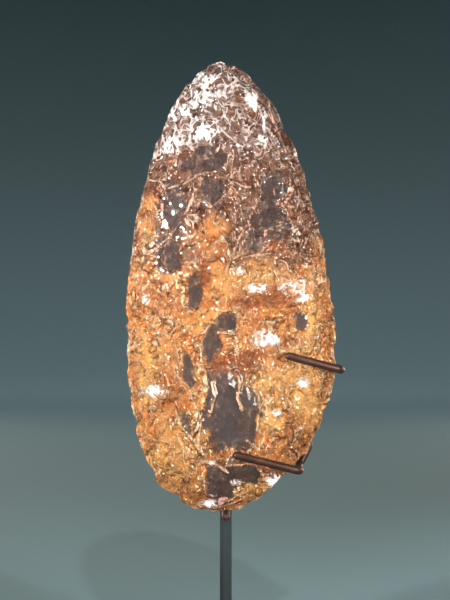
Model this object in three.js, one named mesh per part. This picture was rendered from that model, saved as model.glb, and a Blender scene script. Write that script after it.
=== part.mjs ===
// A rock crystal side scraper, knapped on both faces, standing in a wire mount on a small foot.
// Millimetres, +Z up. The scraper's better face looks along -Y. The origin is under the middle of the foot.
import * as THREE from "three";

// The stone's outline, seen from the front.
const STONE_LENGTH = 112;
const STONE_WIDTH = 52;
const BROADEST_HEIGHT = 42; // of the broadest place, above the base
const TIP_LEAN = -2.4; // the tip stands this far to the left of the broadest place
const BASE_LEAN = -4.8; // and the base's lowest point this far
const TIP_FULLNESS = 1.8; // 2 is an ellipse, less is more pointed
const BASE_FULLNESS = 2.1;

// How far the stone swells to each side of its edge, and how steeply the edge is bevelled.
const FRONT_SWELL = 9.6;
const BACK_SWELL = 7.6;
const FRONT_BEVEL = 1.25;
const BACK_BEVEL = 0.95;

// The wire mount.
const WIRE_DIAMETER = 2;
const STEM_DIAMETER = 3;
const STEM_CHAMFER = 0.6;
const STEM_OFFSET = -1.5; // the stem stands this far to the left of the stone's middle
const STEM_STANDOFF = 0.8; // air between the mount and the stone's back
const STEM_OVERLAP = 5; // the stem's top stands this far above the stone's base, behind it
const STEM_OVERRUN = 1.8; // of the stem, above the wire that it carries
const LEVEL_START = 3; // of that wire, beside the stem
const CONTOUR_INSET = 3.4; // behind the stone the wire runs this far inside its edge
const BEND_RADIUS = 1.7;
const TOUCH_GAP = 0.3; // between pieces that touch
const REST_REACH = 2.5; // of the bottom rest, past the stone's edge
const UPPER_HOOK_HEIGHT = 35.6; // above the stone's base
const UPPER_TIP_ACROSS = 12.9; // from the stone's middle to the end of the wire
const UPPER_TIP_HEIGHT = 39.4;
const LOWER_HOOK_HEIGHT = 11; // where the wire passes the stone's edge
const LOWER_ARM_HEIGHT = 18.2; // where it leaves the other wire, behind the stone
const LOWER_ELBOW_DEPTH = 3.4; // behind the stone's edge
const LOWER_TIP_ACROSS = 0.2;
const LOWER_TIP_HEIGHT = 15.3;

// The foot, and where it holds the stone.
const FOOT_LENGTH = 64;
const FOOT_DEPTH = 44;
const FOOT_HEIGHT = 8;
const FOOT_CORNER = 7;
const FOOT_CHAMFER = 1;
const STONE_CLEARANCE = 28; // from the foot's top to the stone's base
const STONE_FORWARD = 3; // the stone's edge stands this far in front of the foot's middle
const STEM_LIFT = 0.5; // of the stem's end, above the foot's underside

// Rows of flake scars, struck inwards all round the edge, from the large first ones to the retouch.
// aim: how far the row reaches to the middle. rim: height at the edge, as a share of the swell.
// slope: steepness where the row stops short of the crest. dish: hollowness, as a share of the width.
const FRONT_ROWS = [
  { count: 13, seed: 5, aim: 0.84, rim: 0.27, bite: 0, dishAlong: 0.16, dishAcross: 0.62 },
  { count: 27, seed: 17, aim: 0.86, rim: 0.14, bite: 0.05, slope: 0.62, dishAlong: 0.2, dishAcross: 1.46 },
  { count: 61, seed: 11, aim: 0.9, rim: 0.01, bite: 0.036, slope: 0.95, dishAlong: 0.5, dishAcross: 3.6 },
];
const BACK_ROWS = [
  { count: 9, seed: 29, aim: 0.8, rim: 0.26, bite: 0, dishAlong: 0.1, dishAcross: 0.47 },
  { count: 22, seed: 37, aim: 0.86, rim: 0.12, bite: 0.05, slope: 0.5, dishAlong: 0.2, dishAcross: 1.3 },
  { count: 47, seed: 41, aim: 0.9, rim: 0.01, bite: 0.04, slope: 0.8, dishAlong: 0.4, dishAcross: 3.1 },
];

// Single broad scars on the faces. across is a share of the half width and up of the half length, from the
// stone's middle. The radii are shares of the width and length, turn is in degrees, and depth is a share
// of the swell.
const FRONT_HOLLOWS = [
  { across: 0, up: -0.58, radiusAcross: 0.27, radiusUp: 0.3, turn: 0, depth: 0.18 },
  { across: -0.19, up: -0.19, radiusAcross: 0.16, radiusUp: 0.16, turn: -18, depth: 0.1 },
  { across: -0.305, up: 0, radiusAcross: 0.11, radiusUp: 0.116, turn: 4, depth: 0.06 },
  { across: -0.305, up: 0.54, radiusAcross: 0.24, radiusUp: 0.064, turn: 15, depth: 0.09 },
  { across: -0.16, up: 0.42, radiusAcross: 0.15, radiusUp: 0.057, turn: 20, depth: 0.05 },
  { across: -0.63, up: 0.29, radiusAcross: 0.18, radiusUp: 0.118, turn: -18, depth: 0.08 },
  { across: 0.38, up: 0.43, radiusAcross: 0.12, radiusUp: 0.075, turn: -15, depth: 0.05 },
  { across: 0.34, up: 0.26, radiusAcross: 0.215, radiusUp: 0.11, turn: -10, depth: 0.08 },
  { across: -0.66, up: 0.12, radiusAcross: 0.19, radiusUp: 0.075, turn: 10, depth: 0.08 },
  { across: 0.076, up: 0.73, radiusAcross: 0.24, radiusUp: 0.11, turn: 0, depth: 0.115 },
  { across: -0.24, up: 0.23, radiusAcross: 0.17, radiusUp: 0.16, turn: 8, depth: 0.08 },
  { across: -0.095, up: -0.87, radiusAcross: 0.185, radiusUp: 0.1, turn: 0, depth: 0.08 },
  { across: 0.65, up: -0.19, radiusAcross: 0.23, radiusUp: 0.13, turn: 0, depth: 0.09 },
  { across: 0.55, up: -0.013, radiusAcross: 0.155, radiusUp: 0.054, turn: 20, depth: 0.05 },
];
const BACK_HOLLOWS = [
  { across: -0.115, up: -0.14, radiusAcross: 0.42, radiusUp: 0.39, turn: 6, depth: 0.24 },
  { across: 0.08, up: 0.46, radiusAcross: 0.31, radiusUp: 0.23, turn: -10, depth: 0.16 },
  { across: 0.115, up: -0.64, radiusAcross: 0.35, radiusUp: 0.18, turn: 0, depth: 0.13 },
];
const HOLLOW_TILT = 0.6; // how much of the face's own slope a hollow follows

// Proportions that scatter the flakes.
const STRIKE_SCATTER = 0.62; // of a flake's place along the edge
const AIM_SCATTER = 0.0625; // of its far end, as a share of the length
const RISE_SCATTER = 0.16;
const SLOPE_SCATTER = 0.4;
const DISH_SCATTER = 0.7;

// Fineness of the surfaces.
const RIM_STEPS = 144;
const RINGS = 24;
const WIRE_SIDES = 10;
const WIRE_STEP = 1.4;
const CONTOUR_RUNS = 5;
const ROD_SIDES = 20;
const CORNER_STEPS = 6;
const SEARCH_STEPS = 40;
const SAMPLES = 60;

const MIDDLE_HEIGHT = STONE_LENGTH / 2; // of the stone's own origin, above its base
const BROADEST = BROADEST_HEIGHT - MIDDLE_HEIGHT;
const HALF_WIDTH = STONE_WIDTH / 2;
const HEART = { x: 0, z: BROADEST + STONE_LENGTH * 0.054 };
const WIRE_REACH = WIRE_DIAMETER / 2 + TOUCH_GAP;
const STEM_REACH = STEM_DIAMETER / 2 + TOUCH_GAP;

// A share from 0 to 1 that looks random and is the same each time.
function scatter(index, seed) {
  const value = Math.sin(index * 12.9898 + seed * 78.233) * 43758.5453;
  return value - Math.floor(value);
}

// From the broadest place to the tip, or to the base.
function reachAt(z) {
  return z > BROADEST ? STONE_LENGTH - BROADEST_HEIGHT : BROADEST_HEIGHT;
}

function fullnessAt(z) {
  return z > BROADEST ? TIP_FULLNESS : BASE_FULLNESS;
}

// How far out a height lies: 0 at the broadest place, 1 at the tip or the base.
function shareOut(z) {
  return Math.min(1, Math.abs(z - BROADEST) / reachAt(z));
}

function leanAt(z) {
  const share = shareOut(z);
  return z > BROADEST ? TIP_LEAN * share ** 0.8 : BASE_LEAN * share ** 2.4;
}

// The smooth leaf shape that the flakes were struck from. The angle runs from the right edge over the tip.
function outlineAt(angle) {
  const up = Math.sin(angle);
  const side = Math.cos(angle);
  const beyond = BROADEST + Math.sign(up);
  const power = 2 / fullnessAt(beyond);
  const z = BROADEST + Math.sign(up) * reachAt(beyond) * Math.abs(up) ** power;
  const half = HALF_WIDTH * Math.abs(side) ** power;
  return { x: leanAt(z) + Math.sign(side) * half, z };
}

// About how far a place lies inside the leaf shape's outline.
function depthInside(x, z) {
  const power = fullnessAt(z);
  const across = Math.abs(x - leanAt(z)) / HALF_WIDTH;
  const up = Math.abs(z - BROADEST) / reachAt(z);
  const size = (across ** power + up ** power) ** (1 / power) + 1e-9;
  const slopeAcross = (size ** (1 - power) * across ** (power - 1)) / HALF_WIDTH;
  const slopeUp = (size ** (1 - power) * up ** (power - 1)) / reachAt(z);
  return (1 - size) / Math.max(Math.hypot(slopeAcross, slopeUp), 1e-4);
}

// The height of a face's crest above the edge's plane.
function crestAt(z, swell) {
  return swell * (1 - shareOut(z) ** 2.3) ** 0.55;
}

// One flake scar: a dished surface that climbs from where it was struck towards the middle.
function makeScar(edge, target, start, end, dishAlong, dishAcross) {
  const reach = Math.hypot(target.x - edge.x, target.z - edge.z);
  return {
    edge,
    alongX: (target.x - edge.x) / reach,
    alongZ: (target.z - edge.z) / reach,
    start,
    climb: (end - start) / reach - dishAlong * reach,
    dishAlong,
    dishAcross,
  };
}

function scarHeight(scar, x, z) {
  const u = (x - scar.edge.x) * scar.alongX + (z - scar.edge.z) * scar.alongZ;
  const v = (z - scar.edge.z) * scar.alongX - (x - scar.edge.x) * scar.alongZ;
  return scar.start + scar.climb * u + scar.dishAlong * u * u + scar.dishAcross * v * v;
}

// The scars of one row, all round the edge.
function scarsOfRow(row, swell) {
  const scars = [];
  for (let i = 0; i < row.count; i++) {
    const edge = outlineAt((2 * Math.PI * (i + STRIKE_SCATTER * scatter(i, row.seed))) / row.count);
    const targetZ = edge.z * row.aim + AIM_SCATTER * STONE_LENGTH * (scatter(i, row.seed + 1) - 0.5);
    const target = { x: leanAt(targetZ), z: targetZ };
    const start = swell * (row.rim - row.bite * (0.5 + scatter(i, row.seed + 2)));
    const length = Math.hypot(target.x - edge.x, target.z - edge.z);
    const chance = scatter(i, row.seed + 3) - 0.5;
    const end = row.slope
      ? start + row.slope * (1 + SLOPE_SCATTER * chance) * length
      : crestAt(targetZ, swell) * (1 + RISE_SCATTER * chance);
    const dishAlong = row.dishAlong / STONE_WIDTH;
    const dishAcross = (row.dishAcross / STONE_WIDTH) * (0.7 + DISH_SCATTER * scatter(i, row.seed + 4));
    scars.push(makeScar(edge, target, start, end, dishAlong, dishAcross));
  }
  return scars;
}

// A broad scar laid into a face: a bowl that follows part of the slope of the scars under it.
function makeHollow(shape, scars, swell) {
  const x = shape.across * HALF_WIDTH;
  const z = shape.up * MIDDLE_HEIGHT;
  const step = STONE_WIDTH * 0.04;
  const slopeX = (lowest(scars, x + step, z) - lowest(scars, x - step, z)) / (2 * step);
  const slopeZ = (lowest(scars, x, z + step) - lowest(scars, x, z - step)) / (2 * step);
  return {
    x,
    z,
    floor: lowest(scars, x, z) - shape.depth * swell,
    depth: shape.depth * swell,
    slopeX: HOLLOW_TILT * slopeX,
    slopeZ: HOLLOW_TILT * slopeZ,
    cosine: Math.cos(THREE.MathUtils.degToRad(shape.turn)),
    sine: Math.sin(THREE.MathUtils.degToRad(shape.turn)),
    radiusAcross: shape.radiusAcross * STONE_WIDTH,
    radiusUp: shape.radiusUp * STONE_LENGTH,
  };
}

function hollowHeight(hollow, x, z) {
  const dx = x - hollow.x;
  const dz = z - hollow.z;
  const u = (dx * hollow.cosine + dz * hollow.sine) / hollow.radiusAcross;
  const v = (dz * hollow.cosine - dx * hollow.sine) / hollow.radiusUp;
  return hollow.floor + hollow.depth * (u * u + v * v) + hollow.slopeX * dx + hollow.slopeZ * dz;
}

function lowest(scars, x, z) {
  let height = Infinity;
  for (const scar of scars) height = Math.min(height, scarHeight(scar, x, z));
  return height;
}

// A face as a function that gives its height above the edge's plane: the lowest of all its scars.
function makeFace(rows, hollowShapes, swell, bevel) {
  const scars = rows.flatMap((row) => scarsOfRow(row, swell));
  const hollows = hollowShapes.map((shape) => makeHollow(shape, scars, swell));
  return (x, z) => {
    let height = Math.min(lowest(scars, x, z), bevel * depthInside(x, z));
    for (const hollow of hollows) height = Math.min(height, hollowHeight(hollow, x, z));
    return height;
  };
}
const frontHeight = makeFace(FRONT_ROWS, FRONT_HOLLOWS, FRONT_SWELL, FRONT_BEVEL);
const backHeight = makeFace(BACK_ROWS, BACK_HOLLOWS, BACK_SWELL, BACK_BEVEL);

// How far a ray runs in the edge's plane before it leaves the stone, where the two faces meet.
function edgeAlong(from, dirX, dirZ) {
  let inside = 0;
  let outside = STONE_LENGTH;
  for (let i = 0; i < SEARCH_STEPS; i++) {
    const r = (inside + outside) / 2;
    const x = from.x + dirX * r;
    const z = from.z + dirZ * r;
    if (frontHeight(x, z) + backHeight(x, z) > 0) inside = r;
    else outside = r;
  }
  return inside;
}

// The edge as points evenly spaced along it.
function edgePoints(count) {
  const fine = count * 6;
  const points = [];
  for (let i = 0; i <= fine; i++) {
    const edge = outlineAt((2 * Math.PI * i) / fine);
    const distance = Math.hypot(edge.x - HEART.x, edge.z - HEART.z);
    const dirX = (edge.x - HEART.x) / distance;
    const dirZ = (edge.z - HEART.z) / distance;
    const r = edgeAlong(HEART, dirX, dirZ);
    points.push(new THREE.Vector2(HEART.x + dirX * r, HEART.z + dirZ * r));
  }
  const lengths = [0];
  for (let i = 1; i <= fine; i++) lengths.push(lengths[i - 1] + points[i].distanceTo(points[i - 1]));
  const spaced = [];
  let k = 0;
  for (let i = 0; i < count; i++) {
    const wanted = (lengths[fine] * i) / count;
    while (lengths[k + 1] < wanted) k++;
    const part = (wanted - lengths[k]) / (lengths[k + 1] - lengths[k]);
    spaced.push(points[k].clone().lerp(points[k + 1], part));
  }
  return spaced;
}

const rim = edgePoints(RIM_STEPS);
const fineRim = rim.flatMap((point, i) => {
  const next = rim[(i + 1) % RIM_STEPS];
  return Array.from({ length: SAMPLES }, (_, k) => point.clone().lerp(next, k / SAMPLES));
});

// Triangles between an inner and an outer ring of point numbers that start at the same angle.
function zipRings(inner, outer) {
  const triangles = [];
  let i = 0;
  let k = 0;
  while (k < outer.length || (inner.length > 1 && i < inner.length)) {
    const outerNext = (k + 1) / outer.length;
    const innerNext = inner.length > 1 ? (i + 1) / inner.length : Infinity;
    const here = inner[i % inner.length];
    if (outerNext <= innerNext) {
      triangles.push(here, outer[k % outer.length], outer[(k + 1) % outer.length]);
      k++;
    } else {
      triangles.push(here, outer[k % outer.length], inner[(i + 1) % inner.length]);
      i++;
    }
  }
  return triangles;
}

// The stone as rings of points round its heart on both faces, which share the outermost ring.
function stoneGeometry() {
  const positions = [];
  const faces = [];
  function addPoint(x, y, z) {
    positions.push(x, y, z);
    return positions.length / 3 - 1;
  }
  function rimAt(share) {
    const place = share * RIM_STEPS;
    const k = Math.floor(place);
    return rim[k % RIM_STEPS].clone().lerp(rim[(k + 1) % RIM_STEPS], place - k);
  }
  function makeRing(out, heightAt) {
    const count = Math.max(1, Math.round(RIM_STEPS * out));
    const ring = [];
    for (let i = 0; i < count; i++) {
      const edge = rimAt(i / count);
      const x = HEART.x + (edge.x - HEART.x) * out;
      const z = HEART.z + (edge.y - HEART.z) * out;
      ring.push(addPoint(x, heightAt(x, z), z));
    }
    return ring;
  }
  const edgeRing = makeRing(1, (x, z) => (backHeight(x, z) - frontHeight(x, z)) / 2);
  const sides = [
    { heightAt: (x, z) => -frontHeight(x, z), turned: false },
    { heightAt: backHeight, turned: true },
  ];
  for (const side of sides) {
    let inner = makeRing(0, side.heightAt);
    for (let j = 1; j <= RINGS; j++) {
      const outer = j < RINGS ? makeRing(j / RINGS, side.heightAt) : edgeRing;
      const triangles = zipRings(inner, outer);
      faces.push(...(side.turned ? triangles.reverse() : triangles));
      inner = outer;
    }
  }
  const geometry = new THREE.BufferGeometry();
  geometry.setAttribute("position", new THREE.Float32BufferAttribute(positions, 3));
  geometry.setIndex(faces);
  geometry.computeVertexNormals();
  return geometry;
}

// How far to the right a rod of this reach passes the stone's edge at a height.
function besideEdge(z, reach) {
  let x = 0;
  for (const point of fineRim) {
    const rise = Math.abs(point.y - z);
    if (rise <= reach) x = Math.max(x, point.x + Math.sqrt(reach * reach - rise * rise));
  }
  return x;
}

// How far down a rod of this reach passes under the stone's edge.
function underEdge(x, reach) {
  let z = 0;
  for (const point of fineRim) {
    const shift = Math.abs(point.x - x);
    if (shift <= reach) z = Math.min(z, point.y - Math.sqrt(reach * reach - shift * shift));
  }
  return z;
}

// The greatest height of a face within a rod's reach of a straight line over it.
function highestUnder(heightAt, fromX, fromZ, toX, toZ, reach) {
  let highest = 0;
  for (let i = 0; i <= SAMPLES; i++) {
    const x = fromX + ((toX - fromX) * i) / SAMPLES;
    const z = fromZ + ((toZ - fromZ) * i) / SAMPLES;
    for (const shift of [-reach, 0, reach]) {
      highest = Math.max(highest, heightAt(x + shift, z), heightAt(x, z + shift));
    }
  }
  return highest;
}

// A prong lies on the front face: how far its two ends stand out so that all of it clears the stone.
function prongLift(elbowX, elbowZ, tipX, tipZ) {
  const clearance = WIRE_REACH * 1.25; // more than the reach, because the face slopes
  const tip = highestUnder(frontHeight, tipX, tipZ, tipX, tipZ, WIRE_REACH) + clearance;
  let elbow = WIRE_DIAMETER;
  for (let i = 0; i < SAMPLES; i++) {
    const part = i / SAMPLES;
    const x = elbowX + (tipX - elbowX) * part;
    const z = elbowZ + (tipZ - elbowZ) * part;
    const needed = highestUnder(frontHeight, x, z, x, z, WIRE_REACH / 2) + clearance;
    elbow = Math.max(elbow, (needed - part * tip) / (1 - part));
  }
  return { elbow, tip };
}

// A wire of straight runs between these points, with rounded bends.
function wireGeometry(points) {
  const path = new THREE.CurvePath();
  let from = points[0];
  for (let i = 1; i < points.length - 1; i++) {
    const corner = points[i];
    const before = corner.clone().sub(points[i - 1]);
    const after = points[i + 1].clone().sub(corner);
    const bend = Math.min(BEND_RADIUS, before.length() / 2, after.length() / 2);
    const into = before.setLength(bend);
    const outOf = after.setLength(bend);
    const start = corner.clone().sub(into);
    const end = corner.clone().add(outOf);
    path.add(new THREE.LineCurve3(from, start));
    path.add(new THREE.QuadraticBezierCurve3(start, corner, end));
    from = end;
  }
  path.add(new THREE.LineCurve3(from, points[points.length - 1]));
  const section = new THREE.Shape();
  section.absarc(0, 0, WIRE_DIAMETER / 2, 0, 2 * Math.PI);
  return new THREE.ExtrudeGeometry(section, {
    steps: Math.round(path.getLength() / WIRE_STEP),
    curveSegments: WIRE_SIDES / 2,
    bevelEnabled: false,
    extrudePath: path,
  });
}

// A place in the edge's plane, beyond the stone's edge as seen from its heart, or inside it.
function pastEdge(angle, beyond) {
  const dirX = Math.cos(angle);
  const dirZ = Math.sin(angle);
  const r = edgeAlong(HEART, dirX, dirZ) + beyond;
  return new THREE.Vector2(HEART.x + dirX * r, HEART.z + dirZ * r);
}

function angleFromHeart(x, z) {
  return Math.atan2(z - HEART.z, x - HEART.x);
}

const upperZ = UPPER_HOOK_HEIGHT - MIDDLE_HEIGHT;
const upperX = besideEdge(upperZ, WIRE_REACH);
const upperTip = { x: UPPER_TIP_ACROSS, z: UPPER_TIP_HEIGHT - MIDDLE_HEIGHT };
const lowerZ = LOWER_HOOK_HEIGHT - MIDDLE_HEIGHT;
const lowerX = besideEdge(lowerZ, WIRE_REACH);
const lowerArmZ = LOWER_ARM_HEIGHT - MIDDLE_HEIGHT;
const lowerTip = { x: LOWER_TIP_ACROSS, z: LOWER_TIP_HEIGHT - MIDDLE_HEIGHT };
const stemTop = STEM_OVERLAP - MIDDLE_HEIGHT;

// Where the longer wire runs behind the stone: level from the stem, then along the inside of the edge.
const wireStart = new THREE.Vector2(STEM_OFFSET + STEM_REACH, stemTop - STEM_OVERRUN);
const levelEnd = new THREE.Vector2(wireStart.x + LEVEL_START, wireStart.y);
const contour = [wireStart, levelEnd];
const contourStart = angleFromHeart(levelEnd.x, levelEnd.y);
const contourEnd = angleFromHeart(upperX, upperZ);
for (let i = 1; i <= CONTOUR_RUNS; i++) {
  const angle = contourStart + ((contourEnd - contourStart) * i) / CONTOUR_RUNS;
  contour.push(pastEdge(angle, -CONTOUR_INSET));
}
contour[CONTOUR_RUNS + 1].y = upperZ;

// Where the lower hook leaves the longer wire, and the way it points there: square to that wire.
const armRun = contour.findIndex((point) => point.y > lowerArmZ);
const runStart = contour[armRun - 1];
const runEnd = contour[armRun];
const armFoot = runStart.clone().lerp(runEnd, (lowerArmZ - runStart.y) / (runEnd.y - runStart.y));
const armOut = new THREE.Vector2(runEnd.y - runStart.y, runStart.x - runEnd.x).normalize();

// The stem and the wires behind the stone lie in one plane, clear of its back.
const backReach = contour.slice(1).reduce((highest, point, i) => {
  const before = contour[i];
  return Math.max(highest, highestUnder(backHeight, before.x, before.y, point.x, point.y, STEM_REACH));
}, highestUnder(backHeight, STEM_OFFSET, stemTop, STEM_OFFSET, -MIDDLE_HEIGHT, STEM_REACH));
const stemY = backReach + STEM_STANDOFF + STEM_DIAMETER / 2;

function upperHookGeometry() {
  const lift = prongLift(upperX, upperZ, upperTip.x, upperTip.z);
  return wireGeometry([
    ...contour.map((point) => new THREE.Vector3(point.x, stemY, point.y)),
    new THREE.Vector3(upperX, stemY, upperZ),
    new THREE.Vector3(upperX, -lift.elbow, upperZ),
    new THREE.Vector3(upperTip.x, -lift.tip, upperTip.z),
  ]);
}

// The lower hook leaves the longer wire, bends down round the edge and lies over the front.
function lowerHookGeometry() {
  const lift = prongLift(lowerX, lowerZ, lowerTip.x, lowerTip.z);
  const start = armFoot.clone().addScaledVector(armOut, WIRE_REACH);
  const turn = armFoot.clone().addScaledVector(armOut, CONTOUR_INSET);
  return wireGeometry([
    new THREE.Vector3(start.x, stemY, start.y),
    new THREE.Vector3(turn.x, stemY, turn.y),
    new THREE.Vector3(lowerX, LOWER_ELBOW_DEPTH, lowerZ),
    new THREE.Vector3(lowerX, -lift.elbow, lowerZ),
    new THREE.Vector3(lowerTip.x, -lift.tip, lowerTip.z),
  ]);
}

// A short pin from the stem, on which the stone's lowest edge stands.
function bottomRestGeometry() {
  const length = stemY - STEM_REACH + REST_REACH;
  const geometry = new THREE.CylinderGeometry(WIRE_DIAMETER / 2, WIRE_DIAMETER / 2, length, ROD_SIDES);
  return geometry.translate(STEM_OFFSET, length / 2 - REST_REACH, underEdge(STEM_OFFSET, WIRE_REACH));
}

// The stem from inside the foot up to just behind the stone's base, with its top edge broken.
function stemGeometry() {
  const bottom = -(MIDDLE_HEIGHT + STONE_CLEARANCE + FOOT_HEIGHT) + STEM_LIFT;
  const radius = STEM_DIAMETER / 2;
  const profile = [
    new THREE.Vector2(0, bottom),
    new THREE.Vector2(radius, bottom),
    new THREE.Vector2(radius, stemTop - STEM_CHAMFER),
    new THREE.Vector2(radius - STEM_CHAMFER, stemTop),
    new THREE.Vector2(0, stemTop),
  ];
  return new THREE.LatheGeometry(profile, ROD_SIDES).rotateX(Math.PI / 2);
}

// A flat bar with rounded corners, chamfered edges and a countersunk hole for the stem.
function footGeometry() {
  const halfLength = FOOT_LENGTH / 2 - FOOT_CHAMFER;
  const halfDepth = FOOT_DEPTH / 2 - FOOT_CHAMFER;
  const corner = FOOT_CORNER - FOOT_CHAMFER;
  const plan = new THREE.Shape();
  plan.absarc(halfLength - corner, halfDepth - corner, corner, 0, Math.PI / 2);
  plan.absarc(corner - halfLength, halfDepth - corner, corner, Math.PI / 2, Math.PI);
  plan.absarc(corner - halfLength, corner - halfDepth, corner, Math.PI, 1.5 * Math.PI);
  plan.absarc(halfLength - corner, corner - halfDepth, corner, 1.5 * Math.PI, 2 * Math.PI);
  const hole = new THREE.Path();
  hole.absarc(STEM_OFFSET, stemY - STONE_FORWARD, STEM_REACH + FOOT_CHAMFER, 0, 2 * Math.PI, true);
  plan.holes.push(hole);
  return new THREE.ExtrudeGeometry(plan, {
    depth: FOOT_HEIGHT - 2 * FOOT_CHAMFER,
    curveSegments: CORNER_STEPS,
    bevelThickness: FOOT_CHAMFER,
    bevelSize: FOOT_CHAMFER,
    bevelSegments: 1,
  }).translate(0, 0, FOOT_CHAMFER);
}

const crystal = new THREE.MeshStandardMaterial({ color: 0xd9a066, roughness: 0.12, metalness: 0 });
const wireFinish = new THREE.MeshStandardMaterial({ color: 0x5a3a30, roughness: 0.5, metalness: 0.4 });
const stemFinish = new THREE.MeshStandardMaterial({ color: 0x3a484c, roughness: 0.5, metalness: 0.6 });
const footFinish = new THREE.MeshStandardMaterial({ color: 0x33393c, roughness: 0.55, metalness: 0.3 });

function namedMesh(name, geometry, material) {
  const mesh = new THREE.Mesh(geometry, material);
  mesh.name = name;
  return mesh;
}

const scraperOnMount = new THREE.Group();
const held = new THREE.Group();
held.position.set(0, -STONE_FORWARD, FOOT_HEIGHT + STONE_CLEARANCE + MIDDLE_HEIGHT);
const stem = namedMesh("stem", stemGeometry(), stemFinish);
stem.position.set(STEM_OFFSET, stemY, 0);
held.add(
  namedMesh("side_scraper", stoneGeometry(), crystal),
  namedMesh("upper_hook", upperHookGeometry(), wireFinish),
  namedMesh("lower_hook", lowerHookGeometry(), wireFinish),
  namedMesh("bottom_rest", bottomRestGeometry(), wireFinish),
  stem,
);
scraperOnMount.add(held, namedMesh("foot", footGeometry(), footFinish));

export default scraperOnMount;
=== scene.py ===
"""The looks of a rock crystal side scraper, knapped on both faces, held upright in a wire mount."""

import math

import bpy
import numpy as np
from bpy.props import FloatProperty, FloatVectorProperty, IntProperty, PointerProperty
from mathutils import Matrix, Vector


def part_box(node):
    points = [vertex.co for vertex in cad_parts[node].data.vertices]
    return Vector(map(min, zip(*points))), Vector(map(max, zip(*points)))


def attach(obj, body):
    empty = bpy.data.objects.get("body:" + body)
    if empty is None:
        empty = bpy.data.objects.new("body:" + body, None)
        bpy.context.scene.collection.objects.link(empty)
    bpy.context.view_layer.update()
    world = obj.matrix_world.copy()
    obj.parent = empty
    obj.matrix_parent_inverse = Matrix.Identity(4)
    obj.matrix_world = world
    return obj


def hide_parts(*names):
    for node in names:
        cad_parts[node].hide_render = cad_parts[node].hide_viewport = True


bl_info = {
    "name": "Rock crystal side scraper",
    "version": (1, 0, 0),
    "blender": (4, 5, 0),
    "location": "3D View > Sidebar > Scraper",
    "description": "Builds a knapped rock crystal scraper on its wire mount, in a small studio",
    "category": "Object",
}

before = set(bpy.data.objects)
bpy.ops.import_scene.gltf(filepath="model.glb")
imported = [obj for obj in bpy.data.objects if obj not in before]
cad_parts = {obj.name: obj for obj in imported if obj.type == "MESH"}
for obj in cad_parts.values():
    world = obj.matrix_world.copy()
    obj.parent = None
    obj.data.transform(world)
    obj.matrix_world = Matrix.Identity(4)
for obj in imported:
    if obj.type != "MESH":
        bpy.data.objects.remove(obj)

MM = 0.001
ROOT = "root"

# What the stone's points carry for its paint: how clear and how stained they are, how light the amber
# is and which half they lie in; crease crests, sharp ridges and the lower rim get painted highlights,
# glints painted white.
RELIEF_MARKS = ("clear", "crease", "ridge", "glint")
COLOUR_MARKS = ("stain", "honey", "upper")

# The stone's form, in millimetres and shares, as in the solid.
STONE_LENGTH = 112
STONE_WIDTH = 52
BROADEST_HEIGHT = 42
TIP_LEAN = -2.4
BASE_LEAN = -4.8
TIP_FULLNESS = 1.8
BASE_FULLNESS = 2.1
FRONT_SWELL = 9.6
BACK_SWELL = 7.6
FRONT_BEVEL = 1.25
BACK_BEVEL = 0.95
HOLLOW_TILT = 0.6
STRIKE_SCATTER = 0.62
AIM_SCATTER = 0.0625
RISE_SCATTER = 0.16
SLOPE_SCATTER = 0.4
DISH_SCATTER = 0.7
LEAST_DISH = 0.7
TIP_LEAN_POWER = 0.8
BASE_LEAN_POWER = 2.4
CREST_POWER = 2.3
CREST_ROUNDING = 0.55
HOLLOW_SLOPE_STEP = 0.04
HEART_RISE = 0.054
SEARCH_STEPS = 34

# The mount, in millimetres, as in the solids.
WIRE_DIAMETER = 2
STEM_DIAMETER = 3
STEM_OFFSET = -1.5
STEM_OVERLAP = 5
STEM_OVERRUN = 1.8
LEVEL_START = 3
CONTOUR_INSET = 3.4
CONTOUR_RUNS = 5
TOUCH_GAP = 0.3
UPPER_TIP_ACROSS = 12.9
UPPER_TIP_HEIGHT = 39.4
UPPER_HOOK_HEIGHT = 35.6
LOWER_HOOK_HEIGHT = 11
LOWER_ARM_HEIGHT = 18.2
LOWER_ELBOW_DEPTH = 3.4
LOWER_TIP_ACROSS = 0.2
LOWER_TIP_HEIGHT = 15.3
FOOT_HEIGHT = 8
FOOT_CORNER = 7
FOOT_SOFTENING = 1
STONE_CLEARANCE = 28
STONE_FORWARD = 3
BEND_STEPS = 9
DOME_STEPS = 5

# Rows of flake scars, as in the solid: count, seed, aim, rim, bite, slope, dish along and across.
FRONT_ROWS = (
    (13, 5, 0.84, 0.27, 0, None, 0.16, 0.62),
    (27, 17, 0.86, 0.14, 0.05, 0.62, 0.2, 1.46),
    (61, 11, 0.9, 0.01, 0.036, 0.95, 0.5, 3.6),
)
BACK_ROWS = (
    (9, 29, 0.8, 0.26, 0, None, 0.1, 0.47),
    (22, 37, 0.86, 0.12, 0.05, 0.5, 0.2, 1.3),
    (47, 41, 0.9, 0.01, 0.04, 0.8, 0.4, 3.1),
)

# Broad single scars, as in the solid and as shares: across, up, radius across, radius up, turn in
# degrees and depth.
FRONT_HOLLOWS = (
    (0, -0.58, 0.27, 0.3, 0, 0.18),
    (-0.19, -0.19, 0.16, 0.16, -18, 0.1),
    (-0.305, 0, 0.11, 0.116, 4, 0.06),
    (-0.305, 0.54, 0.24, 0.064, 15, 0.09),
    (-0.16, 0.42, 0.15, 0.057, 20, 0.05),
    (-0.63, 0.29, 0.18, 0.118, -18, 0.08),
    (0.38, 0.43, 0.12, 0.075, -15, 0.05),
    (0.34, 0.26, 0.215, 0.11, -10, 0.08),
    (-0.66, 0.12, 0.19, 0.075, 10, 0.08),
    (0.076, 0.73, 0.24, 0.11, 0, 0.115),
    (-0.24, 0.23, 0.17, 0.16, 8, 0.08),
    (-0.095, -0.87, 0.185, 0.1, 0, 0.08),
    (0.65, -0.19, 0.23, 0.13, 0, 0.09),
    (0.55, -0.013, 0.155, 0.054, 20, 0.05),
)
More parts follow.
